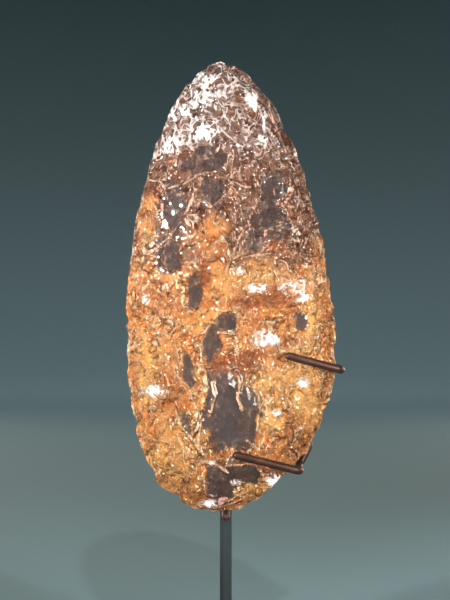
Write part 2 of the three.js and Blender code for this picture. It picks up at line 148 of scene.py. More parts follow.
BACK_HOLLOWS = (
    (-0.115, -0.14, 0.42, 0.39, 6, 0.24),
    (0.08, 0.46, 0.31, 0.23, -10, 0.16),
    (0.115, -0.64, 0.35, 0.18, 0, 0.13),
)

# The next five tables are places on the faces, in millimetres from the stone's middle: across, up,
# half width and half height. Windows are smooth and clear, and show what is behind the stone.
WINDOWS = (
    (-1.3, -29.7, 5.6, 10.3), (4, -31.2, 3, 7.6), (-3, -23, 3.3, 4.6),
    (-4.6, -14, 2, 5.2), (-1.3, -8.6, 2.2, 2.6), (-3, -48.4, 4, 5.2),
    (2, -45.6, 4.8, 2.6), (-8.8, -0.7, 1.9, 4.6), (-10.4, -21.3, 1.4, 4),
    (-11.2, -34.2, 1.1, 3.2), (16.9, -8.2, 1.8, 2.4), (-7.1, 30.7, 5, 3),
    (-12, 29.8, 2.4, 2.2), (-4.7, 23.6, 3.2, 3.2), (-14.1, 19.1, 3, 6),
    (-16.2, 9.6, 4.4, 2.5), (-15.4, 5.5, 3.4, 2.4), (9.8, 23.6, 3.4, 4),
    (9.4, 15.4, 4.6, 4.6), (5.2, 11.4, 2.4, 2.8), (-4.7, 53.4, 2, 1.4),
    (8.2, 47.2, 1.5, 3.4), (10.6, 42.4, 1.7, 3.6), (13, 37.4, 1.7, 3.4),
)

# Red-brown iron stains in the crystal.
STAINS = (
    (10.6, -2.6, 4.2, 2.6), (3.2, -4, 4.6, 1.4), (-2.2, -18.1, 2.8, 2.4),
    (4, -18.1, 3, 2.6), (0.2, -20.3, 6, 0.9), (14.4, -13.6, 2.6, 1.3),
    (-6.4, 3, 1.4, 3.4), (10.9, 9.4, 2.6, 1),
)

# Painted highlights: glints painted white and made to glow, on crinkled spots of the crystal.
GLINTS = (
    (-15, 34.5, 2.8, 2.2), (-7.1, 38.2, 3.6, 1.9), (-12.1, 43.5, 1.4, 1.1),
    (-9.2, 47.6, 0.9, 1.4), (-5.5, 51.3, 2, 1), (-5.4, 46.8, 1.1, 1.9),
    (4.9, 46, 1.4, 1.8), (7.4, 36, 1.1, 1.3), (16, 0.1, 3.2, 1.7),
    (17.6, -2.7, 1.6, 1.1), (6.4, -0.3, 2.2, 1), (8.2, -12.6, 2.6, 1.6),
    (17.6, -23.8, 1.3, 1.1), (10.2, -30.9, 1.5, 0.9), (-5, -42.9, 0.8, 0.5),
    (1.2, -47.9, 1.2, 0.8), (-5.5, -53.4, 2.2, 0.9), (10.2, -47.8, 1.3, 1.6),
    (2, 3.8, 0.8, 1), (-19.6, -25.5, 2.8, 1.1), (-21, -3, 0.8, 1.2),
    (8, 40.6, 0.5, 2.6), (6.9, 35.4, 1.3, 0.6), (2.2, 34.6, 2.4, 0.5),
    (5.6, 44.8, 0.5, 1.6),
)

# Where the lower half's amber, stain and painted warm light, climbs into the upper, copper-coloured
# half.
TONGUES = (
    (-4.6, 12, 3.6, 5.6), (-21, 15, 2.4, 8), (22, 6, 2.4, 7),
)

# Where the amber is thin and light.
HONEY = (
    (17.5, -24, 5, 11), (10.5, -28, 4.6, 8), (20, -6, 2.6, 8),
    (5, 1.6, 4, 2.4), (-15, -42, 6, 9), (-21, -20, 2.6, 9),
    (8, -50, 7, 2.4),
)

# Sharp ridges between the large scars, as lines through places across and up; they are raised, and
# carry painted highlights.
RIDGES = (
    ((-21.6, 8.2), (-18.3, 9.6), (-15.4, 12.1), (-12.5, 15.8), (-10.6, 19.5), (-9.4, 22.8)),
    ((-9.4, 22.8), (-8.4, 24.5)),
    ((-4.2, 19.9), (-2.2, 22), (-0.9, 24.9), (0.3, 25.7), (3.6, 24.1)),
    ((6.7, 43.9), (7.9, 41), (7.9, 37.3), (6.4, 35), (3.6, 34.6)),
    ((3.6, 34.6), (0.7, 35.7), (-2.2, 38.1), (-3.4, 39.4)),
    ((-20.3, 26.4), (-17.9, 26.1), (-16, 24.2), (-12, 25), (-8.6, 27.4), (-4, 28.2)),
    ((10.7, 20.8), (11.9, 19.6), (15.1, 19.6)),
    ((2.7, 7.2), (7.4, 7.9), (10.2, 8.4), (11.9, 11.2)),
    ((-1.3, 3.8), (0.2, 7.9), (2, 12.2), (3.6, 15)),
    ((-10, -12.3), (-7.2, -11.4), (-5.5, -9.8), (-3.5, -6.4), (-3, -3.6)),
    ((-7.9, -13.9), (-7.5, -16.9), (-6.7, -21.3), (-6, -24.7), (-7.2, -27.2)),
    ((-12.5, -14.8), (-12.2, -18.8), (-13.4, -21.8), (-10, -25), (-9.7, -27.2), (-7.2, -32.2)),
    ((-7.2, -32.2), (-7.9, -35.5), (-7.9, -39.6), (-5.5, -42.4), (-1, -45.4)),
    ((-13.6, -30), (-12.6, -34), (-9.4, -37.4), (-7.9, -39.6)),
    ((-4.7, -23.1), (-4, -26.3), (-5, -30.5)),
    ((1.2, -21), (2, -23.8), (1.4, -26.8), (2.6, -30)),
    ((6.1, -18.5), (3.6, -21.3), (4, -23.8), (6.4, -26.3), (6.9, -29.7), (6.1, -34.6)),
    ((6.1, -34.6), (7.4, -36.7), (6.4, -39.9), (4, -37.6)),
    ((-3.5, -5.7), (2, -5.7)),
    ((-3, -11.1), (0.7, -11.4)),
    ((-1.3, -43.6), (3.6, -43.3), (6.4, -42.9)),
    ((-6.7, -43.3), (-6.9, -47), (-6.7, -50.8), (-4, -54)),
    ((-2.2, -54.2), (1.2, -53), (5.2, -51.4)),
    ((-1.6, -52.8), (1.4, -51.6), (4.2, -50.2)),
    ((9, 49), (9.4, 44), (11.4, 38.4), (13.4, 33)),
)

# Sizes of the patterns in the crystal and of the metals' grain, in metres.
CURLS = 0.0048
SMALL_CURLS = 0.003
CLOUDS = 0.006
LINE_GROUPS = 0.0034
LINE_BREAKS = 0.0019
SHARDS = 0.0012
SPECKS = 0.0005
BUMP_DEPTH = 0.002
LACQUER_GRAIN = 0.00025
STEEL_GRAIN = 0.0003
POWDER_GRAIN = 0.0004

# The metals where they are rubbed.
RUBBED_LACQUER = (0.15, 0.065, 0.042)
RUBBED_STEEL = (0.04, 0.055, 0.062)
RUBBED_POWDER = (0.09, 0.1, 0.11)

# The studio's lights: name, place in metres, how many millimetres above the stone's middle it aims,
# size in metres, power in watts, colour and beam in degrees.
WHITE = (1, 0.97, 0.93)
CREAM_LIGHT = (1, 0.93, 0.82)
WARM = (1, 0.82, 0.64)
PALE_WARM = (1, 0.88, 0.82)
SPOT = ((0.02, 0.02), 0.012, WHITE, 18)
LIGHTS = (
    ("key", (-0.45, -0.5, 0.18), 12, (0.05, 0.05), 0.1, WHITE, 16),
    ("fill", (0.5, -0.45, 0.2), 0, (0.3, 0.3), 0.32, CREAM_LIGHT, 40),
    ("spot_0", (-0.5, -0.5, 0.5), 0, *SPOT),
    ("spot_1", (0.1, -0.6, 0.6), 0, *SPOT),
    ("spot_2", (0.5, -0.5, 0.4), 0, *SPOT),
    ("spot_3", (-0.6, -0.35, 0.1), 0, *SPOT),
    ("spot_4", (0.35, -0.6, 0.05), 0, *SPOT),
    ("warm_left", (-0.6, 0.6, 0.16), 0, (0.7, 0.3), 0.88, WARM, 95),
    ("warm_right", (0.6, 0.6, 0.16), 0, (0.7, 0.3), 0.88, WARM, 95),
    ("ceiling", (0, 0, 1.9), 0, (2.4, 2.4), 2.5, (1, 1, 1), 180),
)

# The stage: between which heights in metres the backdrop darkens, the cove's steps and the air.
DUSK_HEIGHTS = (-0.06, 0.4)
COVE_STEPS = 12
WORLD_COLOUR = (0.04, 0.055, 0.06, 1)

# The light over the floor behind the stone, and where it aims, in metres.
BACK_LIGHT = (0, 1.08, 0.95)
BACK_LIGHT_AIM = (0, 1.02, 0)

# Where the camera stands beside the stone's middle, and the width of its film, in millimetres.
VIEWPOINT = (-1.7, 0, -3.2)
SENSOR_WIDTH = 36

HALF_WIDTH = STONE_WIDTH / 2
MIDDLE_HEIGHT = STONE_LENGTH / 2
BROADEST = BROADEST_HEIGHT - MIDDLE_HEIGHT
HEART = (0.0, BROADEST + STONE_LENGTH * HEART_RISE)

# Where the stone's middle stands in the frame, in metres.
STONE_PLACE = (0, -STONE_FORWARD * MM, (FOOT_HEIGHT + STONE_CLEARANCE + MIDDLE_HEIGHT) * MM)


def scatter(index, seed):
    """A share from 0 to 1 that looks random and is the same each time, also for arrays."""
    value = np.sin(index * 12.9898 + seed * 78.233) * 43758.5453
    return value - np.floor(value)


def reach_at(z):
    return np.where(z > BROADEST, STONE_LENGTH - BROADEST_HEIGHT, BROADEST_HEIGHT)


def fullness_at(z):
    return np.where(z > BROADEST, TIP_FULLNESS, BASE_FULLNESS)


def share_out(z):
    return np.minimum(1, np.abs(z - BROADEST) / reach_at(z))


def lean_at(z):
    share = share_out(z)
    tip, base = TIP_LEAN * share**TIP_LEAN_POWER, BASE_LEAN * share**BASE_LEAN_POWER
    return np.where(z > BROADEST, tip, base)


def outline_at(angle):
    """The smooth leaf shape that the flakes were struck from, at an angle from the right edge."""
    up, side = np.sin(angle), np.cos(angle)
    beyond = BROADEST + np.sign(up)
    power = 2 / fullness_at(beyond)
    z = BROADEST + np.sign(up) * reach_at(beyond) * np.abs(up) ** power
    return lean_at(z) + np.sign(side) * HALF_WIDTH * np.abs(side) ** power, z


def depth_inside(x, z):
    """About how far a place lies inside the leaf shape's outline."""
    power = fullness_at(z)
    across = np.abs(x - lean_at(z)) / HALF_WIDTH
    up = np.abs(z - BROADEST) / reach_at(z)
    size = (across**power + up**power) ** (1 / power) + 1e-9
    slope_across = size ** (1 - power) * across ** (power - 1) / HALF_WIDTH
    slope_up = size ** (1 - power) * up ** (power - 1) / reach_at(z)
    return (1 - size) / np.maximum(np.hypot(slope_across, slope_up), 1e-4)


def keep_lower(kept, scar):
    """At each place the values of the lower scar of the two. Its height comes first."""
    lower = scar[0] < kept[0]
    return [np.where(lower, value, old) for value, old in zip(scar, kept)]


class Face:
    """One face of the stone: its height above the edge's plane is the lowest of its scars."""

    def __init__(self, rows, hollows, swell, bevel, seed):
        self.swell, self.bevel, self.seed = swell, bevel, seed
        self.scars = [scar for row in rows for scar in self.row_scars(row)]
        self.hollows = [self.hollow(shape) for shape in hollows]

    def row_scars(self, row):
        count, seed, aim, rim, bite, slope, along, across = row
        for i in range(count):
            x, z = outline_at(2 * math.pi * (i + STRIKE_SCATTER * scatter(i, seed)) / count)
            target_z = z * aim + AIM_SCATTER * STONE_LENGTH * (scatter(i, seed + 1) - 0.5)
            target_x = lean_at(target_z)
            start = self.swell * (rim - bite * (0.5 + scatter(i, seed + 2)))
            length = np.hypot(target_x - x, target_z - z)
            chance = scatter(i, seed + 3) - 0.5
            if slope:
                end = start + slope * (1 + SLOPE_SCATTER * chance) * length
            else:
                crest = self.swell * (1 - share_out(target_z) ** CREST_POWER) ** CREST_ROUNDING
                end = crest * (1 + RISE_SCATTER * chance)
            dish_along = along / STONE_WIDTH
            dish_across = across / STONE_WIDTH * (LEAST_DISH + DISH_SCATTER * scatter(i, seed + 4))
            climb = (end - start) / length - dish_along * length
            aim_x, aim_z = (target_x - x) / length, (target_z - z) / length
            yield (x, z, aim_x, aim_z, start, climb, dish_along, dish_across)

    def hollow(self, shape):
        across, up, radius_across, radius_up, turn, depth = shape
        x, z = across * HALF_WIDTH, up * MIDDLE_HEIGHT
        step = STONE_WIDTH * HOLLOW_SLOPE_STEP

        def low(dx, dz):
            return float(self.scar_heights(np.array([x + dx]), np.array([z + dz]))[0][0])

        slope_x = (low(step, 0) - low(-step, 0)) / (2 * step)
        slope_z = (low(0, step) - low(0, -step)) / (2 * step)
        turn = math.radians(turn)
        sink = depth * self.swell
        return (
            x, z, low(0, 0) - sink, sink, HOLLOW_TILT * slope_x, HOLLOW_TILT * slope_z,
            math.cos(turn), math.sin(turn), radius_across * STONE_WIDTH, radius_up * STONE_LENGTH,
        )

    def scar_heights(self, x, z):
        """The lowest scar's height, its number, and the place along and across it."""
        kept = [np.full(x.shape, np.inf), 0, 0, 0]
        for k, (sx, sz, ax, az, start, climb, dish_along, dish_across) in enumerate(self.scars):
            u = (x - sx) * ax + (z - sz) * az
            v = (z - sz) * ax - (x - sx) * az
            height = start + climb * u + dish_along * u * u + dish_across * v * v
            kept = keep_lower(kept, (height, k, u, v))
        return kept

    def heights(self, x, z):
        """As scar_heights, with the bevel along the edge and the broad single scars."""
        best, *place = self.scar_heights(x, z)
        kept = [np.minimum(best, self.bevel * depth_inside(x, z)), *place]
        for k, shape in enumerate(self.hollows):
            hx, hz, floor, depth, slope_x, slope_z, cosine, sine, radius_across, radius_up = shape
            dx, dz = x - hx, z - hz
            u = (dx * cosine + dz * sine) / radius_across
            v = (dz * cosine - dx * sine) / radius_up
            height = floor + depth * (u * u + v * v) + slope_x * dx + slope_z * dz
            scar = (height, len(self.scars) + k, u * radius_across, v * radius_up + radius_up)
            kept = keep_lower(kept, scar)
        return kept


FRONT = Face(FRONT_ROWS, FRONT_HOLLOWS, FRONT_SWELL, FRONT_BEVEL, 3)
BACK = Face(BACK_ROWS, BACK_HOLLOWS, BACK_SWELL, BACK_BEVEL, 7)


def lattice(i, j, seed):
    return scatter(i * 1.37 + j * 57.31, seed)


def noise(x, z, seed):
    """Smooth value noise from 0 to 1, with cells one unit wide."""
    i, j = np.floor(x), np.floor(z)
    u, v = x - i, z - j
    u = u * u * u * (u * (u * 6 - 15) + 10)
    v = v * v * v * (v * (v * 6 - 15) + 10)
    low = lattice(i, j, seed) * (1 - u) + lattice(i + 1, j, seed) * u
    high = lattice(i, j + 1, seed) * (1 - u) + lattice(i + 1, j + 1, seed) * u
    return low * (1 - v) + high * v


def layered(x, z, seed, layers=3):
    total, share, weight = 0, 1, 0
    for k in range(layers):
        total = total + share * noise(x * 2**k, z * 2**k, seed + k)
        weight += share
        share *= 0.5
    return total / weight


def smooth(low, high, value):
    t = np.clip((value - low) / (high - low), 0, 1)
    return t * t * (3 - 2 * t)


def patches(x, z, shapes, blur, seed):
    """A mask that is 1 inside any of the ellipses, with borders that wander."""
    wander = 0.85 * (layered(x / 2.4, z / 2.4, seed) - 0.5)
    mask = np.zeros(x.shape)
    for across, up, half_width, half_height in shapes:
        size = np.hypot((x - across) / half_width, (z - up) / half_height) + wander
        mask = np.maximum(mask, 1 - smooth(1 - blur, 1 + blur, size))
    return mask


def edge_along(dir_x, dir_z):
    """How far rays from the heart run before they leave the stone."""
    inside = np.zeros(dir_x.shape)
    outside = np.full(dir_x.shape, float(STONE_LENGTH))
    for _ in range(SEARCH_STEPS):
        r = (inside + outside) / 2
        x, z = HEART[0] + dir_x * r, HEART[1] + dir_z * r
        within = FRONT.heights(x, z)[0] + BACK.heights(x, z)[0] > 0
        inside = np.where(within, r, inside)
        outside = np.where(within, outside, r)
    return inside


def edge_points(count):
    """The edge as points evenly spaced along it, from the right edge over the tip."""
    edge_x, edge_z = outline_at(2 * math.pi * np.arange(count * 3 + 1) / (count * 3))
    distance = np.hypot(edge_x - HEART[0], edge_z - HEART[1])
    dir_x, dir_z = (edge_x - HEART[0]) / distance, (edge_z - HEART[1]) / distance
    r = edge_along(dir_x, dir_z)
    x, z = HEART[0] + dir_x * r, HEART[1] + dir_z * r
    lengths = np.concatenate([[0], np.cumsum(np.hypot(np.diff(x), np.diff(z)))])
    wanted = lengths[-1] * np.arange(count) / count
    return np.interp(wanted, lengths, x), np.interp(wanted, lengths, z)


def ridge_mask(x, z, width):
    """1 on the sharp ridges, falling to 0 at this distance from them."""
    bent_x = x + 0.5 * (layered(x / 1.9, z / 1.9, 61) - 0.5)
    bent_z = z + 0.5 * (layered(x / 1.9, z / 1.9, 67) - 0.5)
    nearest = np.full(x.shape, np.inf)
    for line in RIDGES:
        for (x0, z0), (x1, z1) in zip(line, line[1:]):
            long_x, long_z = x1 - x0, z1 - z0
            part = ((bent_x - x0) * long_x + (bent_z - z0) * long_z) / (long_x**2 + long_z**2)
            part = np.clip(part, 0, 1)
            away = np.hypot(bent_x - x0 - part * long_x, bent_z - z0 - part * long_z)
            nearest = np.minimum(nearest, away)
    return 1 - smooth(0, width, nearest)


def fine_relief(face, x, z, number, along, sideways, sizes):
    """What the blow left on each scar: ripples, hackles and crinkles, and marks for the paint and its
    highlights.
    """
    clear = patches(x, z, WINDOWS, 0.45, 5)
    rough = 1 - 0.96 * clear
    out = np.hypot(along, sideways)
    chance = scatter(number, face.seed)
    wave = sizes.ripple_length / MM * (0.7 + 0.8 * chance)
    bend = 1.6 * layered(x / 4.3, z / 4.3, face.seed + 11)
    strength = 0.4 + 0.6 * scatter(number, face.seed + 1)
    ripples = np.sin(2 * math.pi * (out / wave + bend + chance)) * strength
    turn = np.arctan2(sideways, along + 0.8)
    hackles = np.abs(layered(turn * 9 + 31 * chance, out / 9, face.seed + 23) - 0.5) * 2
    warp_x = x + 2.4 * (layered(x / 2.9, z / 2.9, face.seed + 31, 2) - 0.5)
    warp_z = z + 2.4 * (layered(x / 2.9, z / 2.9, face.seed + 37, 2) - 0.5)
    crease = (1 - np.abs(2 * layered(warp_x / 1.5, warp_z / 1.9, face.seed + 41, 2) - 1)) ** 4
    broad = (1 - np.abs(2 * noise(warp_x / 4.1, warp_z / 5.2, face.seed + 47) - 1)) ** 3
    crinkle = 0.62 * crease + 0.55 * broad - 0.5
    crinkle = crinkle * (0.45 + 0.55 * layered(x / 9, z / 9, face.seed + 53))
    height = sizes.ripple_height / MM * ripples * (0.25 + 0.75 * rough)
    height = height - sizes.hackle_height / MM * hackles * rough
    height = height + sizes.crinkle_height / MM * crinkle * rough
    if face is not FRONT:
        return height, clear, crease * rough, np.zeros(x.shape), np.zeros(x.shape)
    # Painted highlights also scattered over the top part, more on its left.
    scattered = smooth(26, 40, z) * (0.24 + 0.2 * smooth(4, -6, x)) * rough
    glint = np.maximum(patches(x, z, GLINTS, 0.75, 19), scattered)
    ridge = ridge_mask(x, z, sizes.ridge_width / MM)
    height = height + sizes.ridge_height / MM * ridge
    height = height + sizes.crinkle_height / MM * glint * (layered(x / 0.8, z / 0.8, 83, 2) - 0.5) * 2.2
    # Painted highlight along the lower part of the edge, broken up by noise.
    rim = (1 - smooth(0.3, 1.5, depth_inside(x, z))) * smooth(6, -10, z)
    rim = rim * smooth(0.3, 0.5, layered(x / 1.7, z / 1.7, 101, 2))
    return height, clear * (1 - 0.8 * ridge), crease * rough, np.maximum(ridge, rim), glint


def stone_mesh(sizes):
    """The fine stone: rings of points round its heart on both faces, which share the outermost."""
    steps = sizes.rim_steps
    rim_x, rim_z = edge_points(steps)
    fine = layered(np.arange(steps) / 3.7, np.zeros(steps), 71, 2)
    broad = noise(np.arange(steps) / 13.3, np.zeros(steps), 73)
    chip = np.minimum(0.6 * fine + 0.8 * broad - 0.65, 0.1)
    inward = 1 + sizes.chip_depth / MM * chip / np.hypot(rim_x - HEART[0], rim_z - HEART[1])
    rim_x = np.append(HEART[0] + (rim_x - HEART[0]) * inward, 0)
    rim_z = np.append(HEART[1] + (rim_z - HEART[1]) * inward, 0)
    rim_x[-1], rim_z[-1] = rim_x[0], rim_z[0]
    points, faces = [], []
    marks = {name: [] for name in RELIEF_MARKS}

    def make_ring(out, face, sign, share):
        count = max(1, round(steps * out * share))
        place = np.arange(count) / count * steps
        x = HEART[0] + (np.interp(place, np.arange(steps + 1), rim_x) - HEART[0]) * out
        z = HEART[1] + (np.interp(place, np.arange(steps + 1), rim_z) - HEART[1]) * out
        height, number, along, sideways = face.heights(x, z)
        extra, *values = fine_relief(face, x, z, number, along, sideways, sizes)
        fade = smooth(0, 1.6, depth_inside(x, z))
        if out == 1:
            y = (BACK.heights(x, z)[0] - height) / 2
        else:
            y = sign * np.maximum(height + extra * fade, 0.04)
        points.extend(zip(x, y, z))
        for name, mark in zip(marks, values):
            marks[name].extend(mark)
        return list(range(len(points) - count, len(points)))

    rim_ring = make_ring(1, FRONT, -1, 1)
    for face, sign, share, rings in ((FRONT, -1, 1, sizes.rings), (BACK, 1, 0.6, sizes.back_rings)):
        inner = make_ring(0, face, sign, share)
        for j in range(1, rings + 1):
            outer = make_ring(j / rings, face, sign, share) if j < rings else rim_ring
            new = zip_rings(inner, outer)
            faces.extend(new if sign < 0 else [(a, c, b) for a, b, c in new])
            inner = outer
    return np.array(points), faces, marks


def zip_rings(inner, outer):
    """Triangles between two rings of point numbers that start at the same angle."""
    made = []
    n, m = len(inner), len(outer)
    i = k = 0
    while k < m or (n > 1 and i < n):
        here = inner[i % n]
        if (k + 1) / m <= ((i + 1) / n if n > 1 else math.inf):
            made.append((here, outer[k % m], outer[(k + 1) % m]))
            k += 1
        else:
            made.append((here, outer[k % m], inner[(i + 1) % n]))
            i += 1
    return made


def colour_setting(name, description, default):
    return FloatVectorProperty(name=name, description=description, subtype="COLOR", default=default)


def length_setting(name, description, default):
    return FloatProperty(name=name, description=description, unit="LENGTH", default=default)


def count_setting(name, description, default, least):
    return IntProperty(name=name, description=description, default=default, min=least)


class StoneSettings(bpy.types.PropertyGroup):
    rim_steps: count_setting("Edge points", "Points round the stone's edge", 840, 60)
    rings: count_setting("Front rings", "Rings of points on the front", 172, 8)
    back_rings: count_setting("Back rings", "Rings of points on the back", 88, 8)
    ripple_length: length_setting("Ripple length", "From wave to wave on a flake scar", 0.0026)
    ripple_height: length_setting("Ripple height", "Of the waves round a blow", 0.00006)
    hackle_height: length_setting("Hackle height", "Of the fine lines that run from a blow", 0.00009)
    crinkle_height: length_setting("Crinkle height", "Of the creases in the rough parts", 0.00036)
    ridge_height: length_setting("Ridge height", "Of the sharp ridges between scars", 0.0004)
    ridge_width: length_setting("Ridge width", "From the top of such a ridge to its foot", 0.0006)
    chip_depth: length_setting("Chip depth", "Of the small nicks along the edge", 0.0014)
    # Amber: iron stain together with painted warm light shining through the lower half.
    amber: colour_setting("Amber", "Iron-stained crystal, lower half", (0.76, 0.25, 0.062))
    honey: colour_setting("Honey", "Thin, light stain near the edge", (1.0, 0.52, 0.16))
    # Umber and brown are painted shade colours, for the dark lines and the dark patches.
    shade_umber: colour_setting("Umber", "Hollows of the amber crystal", (0.22, 0.06, 0.018))
    brown: colour_setting("Brown", "Hollows of the stained crystal", (0.055, 0.018, 0.01))
    # Cream and rose are painted highlight colours, for the light lines and the ridges.
    highlight_cream: colour_setting("Cream", "Ridges of the stained crystal", (1.0, 0.78, 0.5))
    # Copper: stain together with painted shade, darker than the amber below.
    copper: colour_setting("Copper", "Stained crystal, upper half", (0.22, 0.075, 0.036))
    highlight_rose: colour_setting("Rose", "Ridges of the upper half", (1.0, 0.7, 0.52))
    window: colour_setting("Window", "Clear crystal", (0.8, 0.53, 0.48))
    haze: colour_setting("Haze", "Clouded clear crystal", (0.34, 0.17, 0.14))
    rust: colour_setting("Rust", "Red-brown stain", (0.4, 0.1, 0.03))
    refraction: FloatProperty(name="Refraction", description="Index of quartz", default=1.544)


class MountSettings(bpy.types.PropertyGroup):
    wire: colour_setting("Wire", "Brown lacquer on the wires", (0.05, 0.02, 0.014))
    # The stem's steel is kept dark and dull so that below the stone it also paints a soft shadow band.
    steel: colour_setting("Stem", "Dark steel of the stem", (0.03, 0.046, 0.052))
    powder: colour_setting("Foot", "Dark coat of the foot", (0.045, 0.055, 0.062))
    bend_length: length_setting("Bend", "Length of a bend along each run of wire", 0.0017)
    sides: count_setting("Sides", "Points round a wire", 24, 8)


class StageSettings(bpy.types.PropertyGroup):
    floor: colour_setting("Floor", "Plain pale floor", (0.27, 0.445, 0.51))
    wall: colour_setting("Wall", "Plain wall, darker with height", (0.22, 0.33, 0.36))
    floor_radius: length_setting("Floor radius", "Of the flat floor", 1.2)
    cove_radius: length_setting("Cove radius", "Of the curve from floor to wall", 0.5)
    wall_height: length_setting("Wall height", "Above the cove", 1.6)
    view_height: length_setting("View height", "Of the picture at the stone", 0.1488)
    lens: FloatProperty(name="Lens", description="Focal length in millimetres", default=85)


def mesh_object(name, points, faces):
    mesh = bpy.data.meshes.new(name)
    mesh.from_pydata([tuple(p) for p in points], [], faces)
    mesh.validate()
    piece = bpy.data.objects.new(name, mesh)
    bpy.context.collection.objects.link(piece)
    return piece


def apply_place(piece):
    """Selects this piece alone, and puts its place and scale into its mesh."""
    bpy.ops.object.select_all(action="DESELECT")
    piece.select_set(True)
    bpy.context.view_layer.objects.active = piece
    bpy.ops.object.transform_apply(location=True, rotation=True, scale=True)


def add_primitive(name, add, **values):
    """Deselects everything, then adds a primitive and names it."""
    bpy.ops.object.select_all(action="DESELECT")
    add(**values)
    piece = bpy.context.active_object
    piece.name = name
    piece.data.name = name
    return piece


def settle(piece, angle=30):
    """Applies the piece's place and smooths what isn't an edge."""
    apply_place(piece)
    bpy.ops.object.shade_smooth_by_angle(angle=math.radians(angle))
    return piece


class Value:
    """A socket of a material. Arithmetic on it adds Math nodes."""

    def __init__(self, paint, socket):
        self.paint, self.socket = paint, socket

    def math(self, operation, *values):
        return self.paint.node("ShaderNodeMath", {"operation": operation}, dict(enumerate(values)))

    def __abs__(self):
        return self.math("ABSOLUTE", self)

    def __add__(self, other):
        return self.math("ADD", self, other)

    def __sub__(self, other):
        return self.math("SUBTRACT", self, other)

    def __rsub__(self, other):
        return self.math("SUBTRACT", other, self)

    def __mul__(self, other):
        return self.math("MULTIPLY", self, other)

    __radd__ = __add__
    __rmul__ = __mul__


class Paint:
    """A material on one Principled shader, and the nodes that feed it."""

    def __init__(self, name):
        self.material = bpy.data.materials.new(name)
        self.material.use_nodes = True
        self.tree = self.material.node_tree
        self.shader = self.tree.nodes["Principled BSDF"]
        self.place = self.node("ShaderNodeTexCoord", output="Object")

    def node(self, kind, settings=None, values=None, output=0):
        """Adds a node: its settings first, then its sockets' values or links."""
        made = self.tree.nodes.new(kind)
        for name, setting in (settings or {}).items():
            setattr(made, name, setting)
        for name, value in (values or {}).items():
            self.feed(made.inputs[name], value)
        return Value(self, made.outputs[output])

    def feed(self, socket, value):
        if isinstance(value, Value):
            self.tree.links.new(value.socket, socket)
        elif hasattr(value, "__len__") and len(value) == 3 and len(socket.default_value) == 4:
            socket.default_value = (*value, 1)
        else:
            socket.default_value = value

    def set(self, **values):
        """Feeds the shader's own sockets, whose names are given with underscores."""
        for name, value in values.items():
            self.feed(self.shader.inputs[name.replace("_", " ")], value)

    def add_shader(self, factor):
        """A second Principled shader, which takes over where the factor is 1."""
        first = Value(self, self.shader.outputs["BSDF"])
        second = self.node("ShaderNodeBsdfPrincipled")
        both = self.node("ShaderNodeMixShader", None, {0: factor, 1: first, 2: second})
        self.feed(self.tree.nodes["Material Output"].inputs["Surface"], both)
        self.shader = second.socket.node

    def mix(self, factor, first, second):
        settings = {"data_type": "RGBA", "clamp_factor": True}
        return self.node("ShaderNodeMix", settings, {0: factor, 6: first, 7: second}, 2)

    def noise(self, size, detail=3, roughness=0.5, distortion=0, stretch=None):
        """Noise with features about this large, in metres."""
        place = self.place
        if stretch:
            place = self.node("ShaderNodeMapping", None, {"Vector": self.place, "Scale": stretch})
        values = {
            "Vector": place, "Scale": 1 / size, "Detail": detail,
            "Roughness": roughness, "Distortion": distortion,
        }
        return self.node("ShaderNodeTexNoise", None, values)

    def step(self, value, low, high):
        """0 below low, 1 above high, with a smooth rise between."""
        return self.node(
            "ShaderNodeMapRange", {"interpolation_type": "SMOOTHSTEP"},
            {"Value": value, "From Min": low, "From Max": high},
        )

    def line(self, value, middle, half_width):
        """1 where the value passes the middle, so that noise gives thin winding lines."""
        return 1 - self.step(abs(value - middle), half_width * 0.4, half_width)

    def attribute(self, name):
        return self.node("ShaderNodeAttribute", {"attribute_name": name}, output="Fac")

    def bump(self, height, distance, strength=1.0):
        values = {"Height": height, "Distance": distance, "Strength": strength}
        self.set(Normal=self.node("ShaderNodeBump", None, values, "Normal"))


def wear(piece, paint):
    piece.data.materials.clear()
    piece.data.materials.append(paint.material)


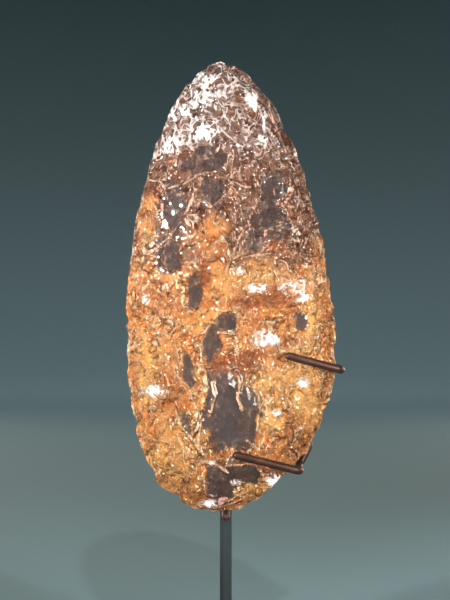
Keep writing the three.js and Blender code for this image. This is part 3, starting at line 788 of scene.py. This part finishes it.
def crystal_paint(colours):
    """Stained crystal, full of small cracks, with painted light and shade, and clear crystal in the
    windows.
    """
    paint = Paint("crystal")
    clear, crease, sharp, glint = map(paint.attribute, RELIEF_MARKS)
    stain, honey, upper = map(paint.attribute, COLOUR_MARKS)
    curls = paint.noise(CURLS, 1.5, 0.5, 1.3, (1.2, 1, 0.8))
    small = paint.noise(SMALL_CURLS, 1.5, 0.5, 1.1, (0.9, 1, 1.1))
    specks = paint.noise(SPECKS, 2, 0.6)
    cloud = paint.noise(CLOUDS, 3, 0.6, 0.5)
    shards = paint.noise(SHARDS, 3, 0.7, 1.5)
    lined = paint.step(paint.noise(LINE_GROUPS, 1) + upper * 0.08 + glint * 0.2, 0.4, 0.58)
    broken = paint.noise(LINE_BREAKS, 1, 0.5, 0.6)
    # Painted highlights: light lines along the curls, wider at the glints, then on crease crests,
    # ridges and rim.
    thin = 0.028 + glint * 0.06
    light = paint.line(curls, 0.5, thin) + paint.line(small, 0.5, thin) * 0.8
    light = light * lined * paint.step(broken + glint * 0.1, 0.36, 0.5)
    # Painted shade: dark lines beside the light ones, fewer where the amber is light.
    painted_shade_lines = paint.line(curls, 0.555, 0.045) * 0.9 + paint.line(small, 0.555, 0.045) * 0.75
    painted_shade_lines = painted_shade_lines * lined * paint.step(broken, 0.66, 0.52) * (1 - honey * 0.35)
    # Painted highlight along the sharp ridges and the lower rim, and a little on the crease crests.
    edge = paint.step(sharp, 0.4, 0.95) * paint.step(small, 0.36, 0.48)
    light = light * (1 - sharp) + crease * 0.2 + edge * 0.85
    thinned = paint.step(cloud + honey * 0.3, 0.4, 0.9)
    body = paint.mix(thinned, tuple(colours.amber), tuple(colours.honey))
    # The amber below and the copper above hold stain and painted light together.
    body = paint.mix(upper, body, tuple(colours.copper))
    # Painted shade colour: umber in the lower half, brown in the upper, laid in random patches and in
    # the dark lines.
    shade_colour = paint.mix(upper, tuple(colours.shade_umber), tuple(colours.brown))
    hollows = paint.step(cloud, 0.53, 0.33) * (0.42 + 0.33 * upper) * (1 - honey * 0.8)
    body = paint.mix(hollows, body, shade_colour)
    body = paint.mix(painted_shade_lines, body, shade_colour)
    body = paint.mix(stain * 0.85, body, tuple(colours.rust))
    # Painted highlight colour: cream in the lower half, rose in the upper, white at the glints.
    pale = paint.mix(upper, tuple(colours.highlight_cream), tuple(colours.highlight_rose))
    pale = paint.mix(glint * 1.5, pale, (1, 0.96, 0.94))
    body = paint.mix(light * (1 - stain * 0.6), body, pale)
    paint.set(
        Base_Color=body,
        Roughness=0.05 + 0.12 * specks,
        # Painted glow: the light lines at the glints glow white.
        Emission_Color=paint.mix(light * glint, (0, 0, 0), (1, 0.95, 0.92)),
        Emission_Strength=0.9,
        Transmission_Weight=0.68,
        IOR=colours.refraction,
    )
    cliffs = paint.step(curls, 0.45, 0.56) * 0.6 + paint.step(small, 0.45, 0.56) * 0.4
    paint.bump(cliffs * (0.3 + 0.7 * lined) + curls * 0.3 + shards * 0.025, BUMP_DEPTH)
    opened = paint.step(clear + (small - 0.5) * 1.2 + (curls - 0.5), 0.26, 0.54)
    # The painted highlight and shade lines keep the stained shader where they cross a window.
    painted_strokes = (light + painted_shade_lines) * (0.25 + 0.25 * upper)
    paint.add_shader(opened * (1 - stain * 0.7) * (1 - painted_strokes))
    clouded = paint.step(cloud, 0.4, 0.7) * 0.7
    paint.set(
        Base_Color=paint.mix(clouded, tuple(colours.window), tuple(colours.haze)),
        Roughness=0.02,
        Transmission_Weight=0.97,
        IOR=colours.refraction,
    )
    return paint


class SCRAPER_OT_stone(bpy.types.Operator):
    """Builds the knapped stone with its flake scars, ripples and crinkles"""

    bl_idname = "scraper.stone"
    bl_label = "Stone"

    def execute(self, context):
        settings = context.scene.scraper_stone
        points, faces, marks = stone_mesh(settings)
        x, z = points[:, 0], points[:, 2]
        # Painted light: the lower half is painted amber, as lit through with warm light, and the upper
        # half darker copper.
        upper = smooth(3, 12, z + 9 * (layered(x / 6, z / 6, 91) - 0.5))
        upper = upper * (1 - patches(x, z, TONGUES, 0.4, 29))
        colours = (patches(x, z, STAINS, 0.35, 13), patches(x, z, HONEY, 0.6, 43), upper)
        marks.update(zip(COLOUR_MARKS, colours))
        piece = mesh_object("crystal_scraper", points * MM + np.array(STONE_PLACE), faces)
        for name, values in marks.items():
            attribute = piece.data.attributes.new(name, "FLOAT", "POINT")
            attribute.data.foreach_set("value", np.asarray(values, dtype=np.float32))
        settle(piece, 28)
        wear(piece, crystal_paint(settings))
        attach(piece, ROOT)
        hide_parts("side_scraper")
        return {"FINISHED"}


def highest_under(face, from_x, from_z, to_x, to_z, reach):
    """The greatest height of a face within a rod's reach of a straight line over it."""
    part = np.linspace(0, 1, 61)
    x, z = from_x + (to_x - from_x) * part, from_z + (to_z - from_z) * part
    return max(
        float(face.heights(x + dx, z + dz)[0].max())
        for dx, dz in ((-reach, 0), (reach, 0), (0, -reach), (0, reach), (0, 0))
    )


def prong_lift(elbow_x, elbow_z, tip_x, tip_z):
    """How far the two ends of a prong stand out so that all of it clears the front face."""
    reach = WIRE_DIAMETER / 2 + TOUCH_GAP
    clearance = reach * 1.25
    tip = highest_under(FRONT, tip_x, tip_z, tip_x, tip_z, reach) + clearance
    elbow = float(WIRE_DIAMETER)
    for part in np.arange(60) / 60:
        x, z = elbow_x + (tip_x - elbow_x) * part, elbow_z + (tip_z - elbow_z) * part
        needed = highest_under(FRONT, x, z, x, z, reach / 2) + clearance
        elbow = max(elbow, (needed - part * tip) / (1 - part))
    return elbow, tip


def beside_edge(z, reach):
    """How far to the right a rod of this reach passes the stone's edge at a height."""
    rim_x, rim_z = edge_points(900)
    rise = np.abs(rim_z - z)
    near = rise <= reach
    return float((rim_x[near] + np.sqrt(reach**2 - rise[near] ** 2)).max())


def past_edge(angle, beyond):
    """A place in the edge's plane, beyond the stone's edge as seen from its heart, or inside it."""
    dir_x, dir_z = math.cos(angle), math.sin(angle)
    r = float(edge_along(np.array([dir_x]), np.array([dir_z]))[0]) + beyond
    return HEART[0] + dir_x * r, HEART[1] + dir_z * r


def contour_points(upper_x, upper_z):
    """Where the longer wire runs behind the stone: level from the stem, then inside the edge."""
    start_z = STEM_OVERLAP - MIDDLE_HEIGHT - STEM_OVERRUN
    level_x = STEM_OFFSET + STEM_DIAMETER / 2 + TOUCH_GAP + LEVEL_START
    first = math.atan2(start_z - HEART[1], level_x - HEART[0])
    last = math.atan2(upper_z - HEART[1], upper_x - HEART[0])
    points = [(STEM_OFFSET, start_z), (level_x, start_z)]
    for k in range(1, CONTOUR_RUNS + 1):
        points.append(past_edge(first + (last - first) * k / CONTOUR_RUNS, -CONTOUR_INSET))
    points[-1] = (points[-1][0], upper_z)
    return points


def arm_points(contour, arm_z):
    """Where the lower hook leaves the longer wire, square to it, and where it turns down."""
    run = next(k for k, point in enumerate(contour) if point[1] > arm_z)
    (from_x, from_z), (to_x, to_z) = contour[run - 1], contour[run]
    part = (arm_z - from_z) / (to_z - from_z)
    foot_x = from_x + (to_x - from_x) * part
    length = math.hypot(to_x - from_x, to_z - from_z)
    out_x, out_z = (to_z - from_z) / length, (from_x - to_x) / length
    return (foot_x, arm_z), (foot_x + out_x * CONTOUR_INSET, arm_z + out_z * CONTOUR_INSET)


def extrude_by(move):
    bpy.ops.mesh.extrude_region_move(TRANSFORM_OT_translate={"value": tuple(move)})


def round_off(centre, direction, radius):
    """Closes the open end that is selected with a dome."""
    before = 1.0
    quarter = math.pi / 2 / (DOME_STEPS + 0.35)
    for k in range(1, DOME_STEPS + 1):
        turn = quarter * k
        rise = radius * (math.sin(turn) - math.sin(turn - quarter))
        extrude_by(direction * rise)
        centre = centre + direction * rise
        wide = math.cos(turn)
        bpy.ops.transform.resize(value=(wide / before,) * 3, center_override=tuple(centre))
        before = wide
    bpy.ops.mesh.edge_face_add()


def add_wire(name, points, diameter, settings, more_sides=0):
    """A round wire: a circle, drawn along straight runs and spun round the bends between them."""
    radius = diameter / 2 * MM
    directions = [(b - a).normalized() for a, b in zip(points, points[1:])]
    piece = add_primitive(
        name, bpy.ops.mesh.primitive_circle_add,
        vertices=settings.sides + more_sides, radius=radius, fill_type="NOTHING",
        location=points[0], rotation=directions[0].to_track_quat("Z", "Y").to_euler(),
    )
    apply_place(piece)
    bpy.ops.object.mode_set(mode="EDIT")
    bpy.ops.mesh.select_all(action="SELECT")
    here = points[0]
    for k, corner in enumerate(points[1:-1]):
        into, out_of = directions[k], directions[k + 1]
        room = min((corner - points[k]).length, (points[k + 2] - corner).length) / 2
        bend = min(settings.bend_length, room)
        start = corner - into * bend
        extrude_by(start - here)
        angle = into.angle(out_of)
        bend_radius = bend / math.tan(angle / 2)
        inward = (out_of - into * math.cos(angle)).normalized()
        axis = into.cross(out_of).normalized()
        centre = start + inward * bend_radius
        bpy.ops.mesh.spin(steps=BEND_STEPS, angle=-angle, center=tuple(centre), axis=tuple(axis))
        here = corner + out_of * bend
    extrude_by(points[-1] - directions[-1] * radius - here)
    round_off(points[-1] - directions[-1] * radius, directions[-1], radius)
    bpy.ops.mesh.select_all(action="SELECT")
    bpy.ops.mesh.remove_doubles(threshold=radius * 0.002)
    bpy.ops.mesh.select_non_manifold()
    bpy.ops.mesh.edge_face_add()
    bpy.ops.mesh.select_all(action="SELECT")
    bpy.ops.mesh.normals_make_consistent(inside=False)
    bpy.ops.object.mode_set(mode="OBJECT")
    return settle(piece, 40)


def metal_paint(name, colour, worn, roughness, grain_size):
    """Lacquered or powder-coated metal: mottled colour, rubbed high spots and a fine skin."""
    paint = Paint(name)
    mottle = paint.noise(grain_size * 14, 3, 0.6)
    skin = paint.noise(grain_size, 3, 0.6)
    rubbed = paint.step(mottle * 0.6 + skin * 0.4, 0.52, 0.68)
    paint.set(
        Base_Color=paint.mix(rubbed * 0.7, tuple(colour), worn),
        Roughness=roughness + (mottle - 0.5) * 0.25,
        Metallic=0.35,
    )
    paint.bump(skin, grain_size * 0.12, 0.5)
    return paint


def local(x, y, z):
    """A place given from the stone's middle in millimetres, as a place in the frame in metres."""
    return Vector([start + offset * MM for start, offset in zip(STONE_PLACE, (x, y, z))])


def prong_points(x, z, tip_x, tip_z):
    """The last corners of a wire: in front of the stone's edge, and at the prong's tip."""
    elbow, tip = prong_lift(x, z, tip_x, tip_z)
    return [local(x, -elbow, z), local(tip_x, -tip, tip_z)]


def wire_heights():
    """The heights of both hooks and of the lower one's arm, from the stone's middle."""
    return [z - MIDDLE_HEIGHT for z in (UPPER_HOOK_HEIGHT, LOWER_HOOK_HEIGHT, LOWER_ARM_HEIGHT)]


def stem_depth():
    """How far the stem's axis stands behind the stone's edge, in millimetres."""
    low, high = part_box("stem")
    return (low.y + high.y) / 2 / MM + STONE_FORWARD


class SCRAPER_OT_hooks(bpy.types.Operator):
    """Builds the two bent wires that reach round the stone's right edge"""

    bl_idname = "scraper.hooks"
    bl_label = "Hooks"

    def execute(self, context):
        settings = context.scene.scraper_mount
        paint = metal_paint("brown_lacquer", settings.wire, RUBBED_LACQUER, 0.38, LACQUER_GRAIN)
        upper_z, lower_z, arm_z = wire_heights()
        depth = stem_depth()
        reach = WIRE_DIAMETER / 2 + TOUCH_GAP
        upper_x, lower_x = beside_edge(upper_z, reach), beside_edge(lower_z, reach)
        contour = contour_points(upper_x, upper_z)
        points = [local(x, depth, z) for x, z in (*contour, (upper_x, upper_z))]
        points += prong_points(upper_x, upper_z, UPPER_TIP_ACROSS, UPPER_TIP_HEIGHT - MIDDLE_HEIGHT)
        upper = add_wire("upper_wire", points, WIRE_DIAMETER, settings)
        points = [local(x, depth, z) for x, z in arm_points(contour, arm_z)]
        points.append(local(lower_x, LOWER_ELBOW_DEPTH, lower_z))
        points += prong_points(lower_x, lower_z, LOWER_TIP_ACROSS, LOWER_TIP_HEIGHT - MIDDLE_HEIGHT)
        lower = add_wire("lower_wire", points, WIRE_DIAMETER, settings)
        for piece, node in ((upper, "upper_hook"), (lower, "lower_hook")):
            wear(piece, paint)
            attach(piece, ROOT)
            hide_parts(node)
        return {"FINISHED"}


class SCRAPER_OT_rest(bpy.types.Operator):
    """Builds the short pin that the stone's lowest edge stands on"""

    bl_idname = "scraper.rest"
    bl_label = "Bottom rest"

    def execute(self, context):
        settings = context.scene.scraper_mount
        low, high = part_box("bottom_rest")
        middle_x, middle_z = (low.x + high.x) / 2, (low.z + high.z) / 2
        paint = metal_paint("rest_lacquer", settings.wire, RUBBED_LACQUER, 0.4, LACQUER_GRAIN)
        stem_y = -STONE_FORWARD * MM + stem_depth() * MM
        points = [Vector((middle_x, y, middle_z)) for y in (stem_y, low.y)]
        piece = add_wire("rest_pin", points, WIRE_DIAMETER, settings)
        wear(piece, paint)
        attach(piece, ROOT)
        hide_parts("bottom_rest")
        return {"FINISHED"}


class SCRAPER_OT_stem(bpy.types.Operator):
    """Builds the upright stem behind the stone"""

    bl_idname = "scraper.stem"
    bl_label = "Stem"

    def execute(self, context):
        settings = context.scene.scraper_mount
        low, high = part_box("stem")
        middle_x, middle_y = (low.x + high.x) / 2, (low.y + high.y) / 2
        # Painted shade, in part: the dark, dull stem also stands for the soft shadow below the stone.
        paint = metal_paint("stem_steel", settings.steel, RUBBED_STEEL, 0.8, STEEL_GRAIN)
        points = [Vector((middle_x, middle_y, z)) for z in (low.z, high.z)]
        piece = add_wire("stem_rod", points, STEM_DIAMETER, settings, 8)
        wear(piece, paint)
        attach(piece, ROOT)
        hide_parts("stem")
        return {"FINISHED"}


def bevel_where(piece, kind, chosen, width, segments):
    """Bevels the edges or faces for which the test holds, by a width in millimetres."""
    bpy.ops.object.mode_set(mode="EDIT")
    bpy.ops.mesh.select_mode(type=kind)
    bpy.ops.mesh.select_all(action="DESELECT")
    bpy.ops.object.mode_set(mode="OBJECT")
    for part in piece.data.edges if kind == "EDGE" else piece.data.polygons:
        part.select = chosen(part)
    bpy.ops.object.mode_set(mode="EDIT")
    bpy.ops.mesh.bevel(offset=width * MM, segments=segments)
    bpy.ops.object.mode_set(mode="OBJECT")


class SCRAPER_OT_foot(bpy.types.Operator):
    """Builds the flat foot, with rounded corners and softened edges"""

    bl_idname = "scraper.foot"
    bl_label = "Foot"

    def execute(self, context):
        settings = context.scene.scraper_mount
        low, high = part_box("foot")
        size = high - low
        add_cube = bpy.ops.mesh.primitive_cube_add
        piece = add_primitive("foot_plate", add_cube, size=1, location=(low + high) / 2)
        piece.scale = size
        apply_place(piece)

        def upright(edge):
            first, last = (piece.data.vertices[v].co.z for v in edge.vertices)
            return abs(first - last) > size.z / 2

        bevel_where(piece, "EDGE", upright, FOOT_CORNER, 12)
        bevel_where(piece, "FACE", lambda face: abs(face.normal.z) > 0.9, FOOT_SOFTENING, 4)
        settle(piece, 50)
        paint = metal_paint("foot_powder", settings.powder, RUBBED_POWDER, 0.55, POWDER_GRAIN)
        wear(piece, paint)
        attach(piece, ROOT)
        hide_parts("foot")
        return {"FINISHED"}


def add_light(name, place, target, size, power, colour, spread):
    """An area light whose beam opens by this angle in degrees."""
    bpy.ops.object.light_add(type="AREA", location=place)
    light = bpy.context.active_object
    light.name = name
    light.data.shape = "RECTANGLE"
    light.data.size, light.data.size_y = size
    light.data.energy = power
    light.data.color = colour
    light.data.spread = math.radians(spread)
    light.rotation_euler = (Vector(target) - Vector(place)).to_track_quat("-Z", "Y").to_euler()
    return light


class SCRAPER_OT_stage(bpy.types.Operator):
    """Builds the floor, the wall, the lights and the camera"""

    bl_idname = "scraper.stage"
    bl_label = "Stage"

    def execute(self, context):
        settings = context.scene.scraper_stage
        cove = add_primitive(
            "studio_cove", bpy.ops.mesh.primitive_circle_add,
            vertices=96, radius=settings.floor_radius, fill_type="NGON",
        )
        bpy.ops.object.mode_set(mode="EDIT")
        bpy.ops.mesh.select_all(action="SELECT")
        radius = settings.floor_radius
        for k in range(1, COVE_STEPS + 1):
            before, turn = math.pi / 2 * (k - 1) / COVE_STEPS, math.pi / 2 * k / COVE_STEPS
            wider = settings.floor_radius + settings.cove_radius * math.sin(turn)
            rise = settings.cove_radius * (math.cos(before) - math.cos(turn))
            extrude_rim((0, 0, rise), wider / radius)
            radius = wider
        extrude_rim((0, 0, settings.wall_height), 1)
        bpy.ops.object.mode_set(mode="OBJECT")
        settle(cove, 60)
        paint = Paint("studio_backdrop")
        rise = paint.node("ShaderNodeSeparateXYZ", None, {0: paint.place}, "Z")
        dusk = paint.step(rise, *DUSK_HEIGHTS)
        colour = paint.mix(dusk, tuple(settings.floor), tuple(settings.wall))
        paint.set(Base_Color=colour, Roughness=0.9)
        cove.data.materials.append(paint.material)

        for name, place, rise, size, power, colour, spread in LIGHTS:
            add_light(name, place, local(0, 0, rise), size, power, colour, spread)
        add_light("back", BACK_LIGHT, BACK_LIGHT_AIM, (1.5, 0.3), 2.1, PALE_WARM, 130)
        world = bpy.data.worlds.new("studio")
        world.use_nodes = True
        world.node_tree.nodes["Background"].inputs["Color"].default_value = WORLD_COLOUR
        context.scene.world = world
        context.scene.view_settings.view_transform = "Standard"

        camera_data = bpy.data.cameras.new("photo_camera")
        camera = bpy.data.objects.new("photo_camera", camera_data)
        context.collection.objects.link(camera)
        camera_data.lens = settings.lens
        camera_data.sensor_width = SENSOR_WIDTH
        distance = settings.view_height * settings.lens / SENSOR_WIDTH
        camera.location = local(*VIEWPOINT) + Vector((0, -distance, 0))
        camera.rotation_euler = (math.pi / 2, 0, 0)
        camera_data.clip_start = 0.01
        context.scene.camera = camera
        return {"FINISHED"}


def extrude_rim(move, widen):
    extrude_by(move)
    bpy.ops.transform.resize(value=(widen, widen, 1), center_override=(0, 0, 0))


class SCRAPER_PT_panel(bpy.types.Panel):
    """The scraper's sizes, colours and pieces"""

    bl_label = "Rock crystal scraper"
    bl_idname = "SCRAPER_PT_panel"
    bl_space_type = "VIEW_3D"
    bl_region_type = "UI"
    bl_category = "Scraper"

    def draw(self, context):
        for title, group in (
            ("Stone", context.scene.scraper_stone),
            ("Mount", context.scene.scraper_mount),
            ("Stage", context.scene.scraper_stage),
        ):
            box = self.layout.box()
            box.label(text=title)
            for name in group.bl_rna.properties.keys():
                if name not in {"rna_type", "name"}:
                    box.prop(group, name)
        for operator in PIECES:
            self.layout.operator(operator.bl_idname)


SETTINGS = {
    "scraper_stone": StoneSettings,
    "scraper_mount": MountSettings,
    "scraper_stage": StageSettings,
}
PIECES = (
    SCRAPER_OT_stage,
    SCRAPER_OT_stone,
    SCRAPER_OT_hooks,
    SCRAPER_OT_rest,
    SCRAPER_OT_stem,
    SCRAPER_OT_foot,
)


def register():
    for group in (*SETTINGS.values(), *PIECES, SCRAPER_PT_panel):
        bpy.utils.register_class(group)
    for name, group in SETTINGS.items():
        setattr(bpy.types.Scene, name, PointerProperty(type=group))


def unregister():
    for name in SETTINGS:
        delattr(bpy.types.Scene, name)
    for group in reversed((*SETTINGS.values(), *PIECES, SCRAPER_PT_panel)):
        bpy.utils.unregister_class(group)


def main():
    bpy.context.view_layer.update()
    register()
    bpy.ops.scraper.stage()
    bpy.ops.scraper.stone()
    bpy.ops.scraper.hooks()
    bpy.ops.scraper.rest()
    bpy.ops.scraper.stem()
    bpy.ops.scraper.foot()


if __name__ == "__main__":
    main()
